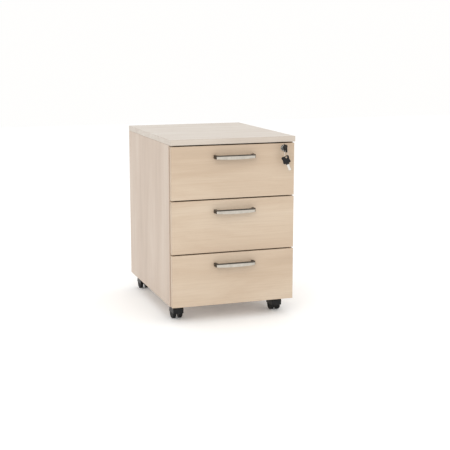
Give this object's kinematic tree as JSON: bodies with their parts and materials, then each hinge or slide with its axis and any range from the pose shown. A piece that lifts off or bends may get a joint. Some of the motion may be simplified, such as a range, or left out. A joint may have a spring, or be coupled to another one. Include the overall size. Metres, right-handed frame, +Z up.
{
  "type": "rolling pedestal cabinet",
  "caption": "Wooden under-desk drawer pedestal on twin-wheel castors, with bow handles, steel trays on roller runners, and a key lock that lifts a central locking bar",
  "frame": {"origin": "on the floor under the middle of the overall box, from the key head in front to the back panel", "axes": "+Z up, -Y towards the person who opens the drawers, +X to their right"},
  "size_m": [0.42, 0.5738, 0.595],
  "materials": {
    "maple_top": "pale maple-effect melamine, satin",
    "maple_side": "maple-effect melamine with upright grain, satin",
    "maple_front": "maple-effect melamine with level grain, satin",
    "satin_nickel": "satin nickel",
    "tray_steel": "light grey powder coat",
    "zinc_plate": "zinc-plated steel",
    "roller_plastic": "white nylon",
    "castor_plastic": "black moulded nylon",
    "wheel_plastic": "black nylon wheel",
    "key_plastic": "black moulded key bow",
    "lock_nickel": "nickel plate"
  },
  "bodies": {
    "carcass": {"top_panel": "maple_top", "left_side_panel": "maple_side", "right_side_panel": "maple_side", "back_panel": "maple_side", "bottom_panel": "maple_side", "cam_nuts": "zinc_plate", "wood_screws": "zinc_plate", "bottom_left_runner": "tray_steel", "bottom_right_runner": "tray_steel", "middle_left_runner": "tray_steel", "middle_right_runner": "tray_steel", "top_left_runner": "tray_steel", "top_right_runner": "tray_steel", "lock_bar_guides": "zinc_plate", "castor_plates": "zinc_plate"},
    "bottom_drawer": {"bottom_drawer_front": "maple_front", "bottom_drawer_tray": "tray_steel", "bottom_drawer_handle": "satin_nickel", "bottom_handle_screws": "zinc_plate", "bottom_front_screws": "zinc_plate"},
    "bottom_cabinet_rollers": {"bottom_cabinet_rollers": "roller_plastic"},
    "bottom_drawer_rollers": {"bottom_drawer_rollers": "roller_plastic"},
    "middle_drawer": {"middle_drawer_front": "maple_front", "middle_drawer_tray": "tray_steel", "middle_drawer_handle": "satin_nickel", "middle_handle_screws": "zinc_plate", "middle_front_screws": "zinc_plate"},
    "middle_cabinet_rollers": {"middle_cabinet_rollers": "roller_plastic"},
    "middle_drawer_rollers": {"middle_drawer_rollers": "roller_plastic"},
    "top_drawer": {"top_drawer_front": "maple_front", "top_drawer_tray": "tray_steel", "top_drawer_handle": "satin_nickel", "top_handle_screws": "zinc_plate", "top_front_screws": "zinc_plate", "lock_housing": "lock_nickel"},
    "top_cabinet_rollers": {"top_cabinet_rollers": "roller_plastic"},
    "top_drawer_rollers": {"top_drawer_rollers": "roller_plastic"},
    "lock_plug": {"lock_plug": "lock_nickel"},
    "key": {"key_blade": "lock_nickel", "key_head": "key_plastic"},
    "key_ring": {"key_ring": "lock_nickel"},
    "spare_key": {"spare_key_blade": "lock_nickel", "spare_key_head": "key_plastic"},
    "lock_bar": {"lock_bar": "zinc_plate"},
    "front_left_castor": {"front_left_castor_hood": "castor_plastic", "front_left_castor_axle": "zinc_plate"},
    "front_left_left_wheel": {"front_left_castor_left_wheel": "wheel_plastic"},
    "front_left_right_wheel": {"front_left_castor_right_wheel": "wheel_plastic"},
    "front_right_castor": {"front_right_castor_hood": "castor_plastic", "front_right_castor_axle": "zinc_plate"},
    "front_right_left_wheel": {"front_right_castor_left_wheel": "wheel_plastic"},
    "front_right_right_wheel": {"front_right_castor_right_wheel": "wheel_plastic"},
    "rear_left_castor": {"rear_left_castor_hood": "castor_plastic", "rear_left_castor_axle": "zinc_plate"},
    "rear_left_left_wheel": {"rear_left_castor_left_wheel": "wheel_plastic"},
    "rear_left_right_wheel": {"rear_left_castor_right_wheel": "wheel_plastic"},
    "rear_right_castor": {"rear_right_castor_hood": "castor_plastic", "rear_right_castor_axle": "zinc_plate"},
    "rear_right_left_wheel": {"rear_right_castor_left_wheel": "wheel_plastic"},
    "rear_right_right_wheel": {"rear_right_castor_right_wheel": "wheel_plastic"}
  },
  "joints": [
    {"name": "bottom_drawer_slide", "type": "slide", "parent": "carcass", "child": "bottom_drawer", "axis": [0, -1, 0], "range_m": [0, 0.34]},
    {"name": "bottom_cabinet_rollers_turn", "type": "hinge", "parent": "carcass", "child": "bottom_cabinet_rollers", "pos_m": [0, -0.19011, 0.0909], "axis": [1, 0, 0], "range_deg": [-10, 2174.5]},
    {"name": "bottom_drawer_rollers_turn", "type": "hinge", "parent": "bottom_drawer", "child": "bottom_drawer_rollers", "pos_m": [0, 0.20289, 0.0883], "axis": [1, 0, 0], "range_deg": [-10, 2174.5]},
    {"name": "middle_drawer_slide", "type": "slide", "parent": "carcass", "child": "middle_drawer", "axis": [0, -1, 0], "range_m": [0, 0.34]},
    {"name": "middle_cabinet_rollers_turn", "type": "hinge", "parent": "carcass", "child": "middle_cabinet_rollers", "pos_m": [0, -0.19011, 0.2649], "axis": [1, 0, 0], "range_deg": [-10, 2174.5]},
    {"name": "middle_drawer_rollers_turn", "type": "hinge", "parent": "middle_drawer", "child": "middle_drawer_rollers", "pos_m": [0, 0.20289, 0.2623], "axis": [1, 0, 0], "range_deg": [-10, 2174.5]},
    {"name": "top_drawer_slide", "type": "slide", "parent": "carcass", "child": "top_drawer", "axis": [0, -1, 0], "range_m": [0, 0.34]},
    {"name": "top_cabinet_rollers_turn", "type": "hinge", "parent": "carcass", "child": "top_cabinet_rollers", "pos_m": [0, -0.19011, 0.4389], "axis": [1, 0, 0], "range_deg": [-10, 2174.5]},
    {"name": "top_drawer_rollers_turn", "type": "hinge", "parent": "top_drawer", "child": "top_drawer_rollers", "pos_m": [0, 0.20289, 0.4363], "axis": [1, 0, 0], "range_deg": [-10, 2174.5]},
    {"name": "lock_plug_turn", "type": "hinge", "parent": "top_drawer", "child": "lock_plug", "pos_m": [0.169, -0.25311, 0.558], "axis": [0, 1, 0], "range_deg": [0, 90]},
    {"name": "key_withdraw", "type": "slide", "parent": "lock_plug", "child": "key", "axis": [0, -1, 0], "range_m": [0, 0.03]},
    {"name": "key_ring_swing", "type": "hinge", "parent": "key", "child": "key_ring", "pos_m": [0.169, -0.27921, 0.5544], "axis": [1, 0, 0], "range_deg": [-35, 10]},
    {"name": "spare_key_swing", "type": "hinge", "parent": "key_ring", "child": "spare_key", "pos_m": [0.169, -0.27921, 0.53], "axis": [-0.3256, -0.9455, 0], "range_deg": [-30, 30]},
    {"name": "lock_bar_lift", "type": "slide", "parent": "carcass", "child": "lock_bar", "axis": [0, 0, 1], "range_m": [0, 0.0101]},
    {"name": "front_left_castor_swivel", "type": "hinge", "parent": "carcass", "child": "front_left_castor", "pos_m": [-0.172, -0.18811, 0.045], "axis": [0, 0, 1], "continuous": true},
    {"name": "front_left_left_wheel_spin", "type": "hinge", "parent": "front_left_castor", "child": "front_left_left_wheel", "pos_m": [-0.172, -0.17211, 0.02], "axis": [1, 0, 0], "continuous": true},
    {"name": "front_left_right_wheel_spin", "type": "hinge", "parent": "front_left_castor", "child": "front_left_right_wheel", "pos_m": [-0.172, -0.17211, 0.02], "axis": [1, 0, 0], "continuous": true},
    {"name": "front_right_castor_swivel", "type": "hinge", "parent": "carcass", "child": "front_right_castor", "pos_m": [0.172, -0.18811, 0.045], "axis": [0, 0, 1], "continuous": true},
    {"name": "front_right_left_wheel_spin", "type": "hinge", "parent": "front_right_castor", "child": "front_right_left_wheel", "pos_m": [0.172, -0.17211, 0.02], "axis": [1, 0, 0], "continuous": true},
    {"name": "front_right_right_wheel_spin", "type": "hinge", "parent": "front_right_castor", "child": "front_right_right_wheel", "pos_m": [0.172, -0.17211, 0.02], "axis": [1, 0, 0], "continuous": true},
    {"name": "rear_left_castor_swivel", "type": "hinge", "parent": "carcass", "child": "rear_left_castor", "pos_m": [-0.172, 0.24189, 0.045], "axis": [0, 0, 1], "continuous": true},
    {"name": "rear_left_left_wheel_spin", "type": "hinge", "parent": "rear_left_castor", "child": "rear_left_left_wheel", "pos_m": [-0.172, 0.25789, 0.02], "axis": [1, 0, 0], "continuous": true},
    {"name": "rear_left_right_wheel_spin", "type": "hinge", "parent": "rear_left_castor", "child": "rear_left_right_wheel", "pos_m": [-0.172, 0.25789, 0.02], "axis": [1, 0, 0], "continuous": true},
    {"name": "rear_right_castor_swivel", "type": "hinge", "parent": "carcass", "child": "rear_right_castor", "pos_m": [0.172, 0.24189, 0.045], "axis": [0, 0, 1], "continuous": true},
    {"name": "rear_right_left_wheel_spin", "type": "hinge", "parent": "rear_right_castor", "child": "rear_right_left_wheel", "pos_m": [0.172, 0.25789, 0.02], "axis": [1, 0, 0], "continuous": true},
    {"name": "rear_right_right_wheel_spin", "type": "hinge", "parent": "rear_right_castor", "child": "rear_right_right_wheel", "pos_m": [0.172, 0.25789, 0.02], "axis": [1, 0, 0], "continuous": true}
  ],
  "couplings": [
    {"joint": "bottom_cabinet_rollers_turn", "follows": "bottom_drawer_slide", "rad_per_m": 111.11},
    {"joint": "bottom_drawer_rollers_turn", "follows": "bottom_drawer_slide", "rad_per_m": 111.11},
    {"joint": "middle_cabinet_rollers_turn", "follows": "middle_drawer_slide", "rad_per_m": 111.11},
    {"joint": "middle_drawer_rollers_turn", "follows": "middle_drawer_slide", "rad_per_m": 111.11},
    {"joint": "top_cabinet_rollers_turn", "follows": "top_drawer_slide", "rad_per_m": 111.11},
    {"joint": "top_drawer_rollers_turn", "follows": "top_drawer_slide", "rad_per_m": 111.11},
    {"joint": "lock_bar_lift", "follows": "lock_plug_turn", "m_per_rad": 0.006302}
  ]
}
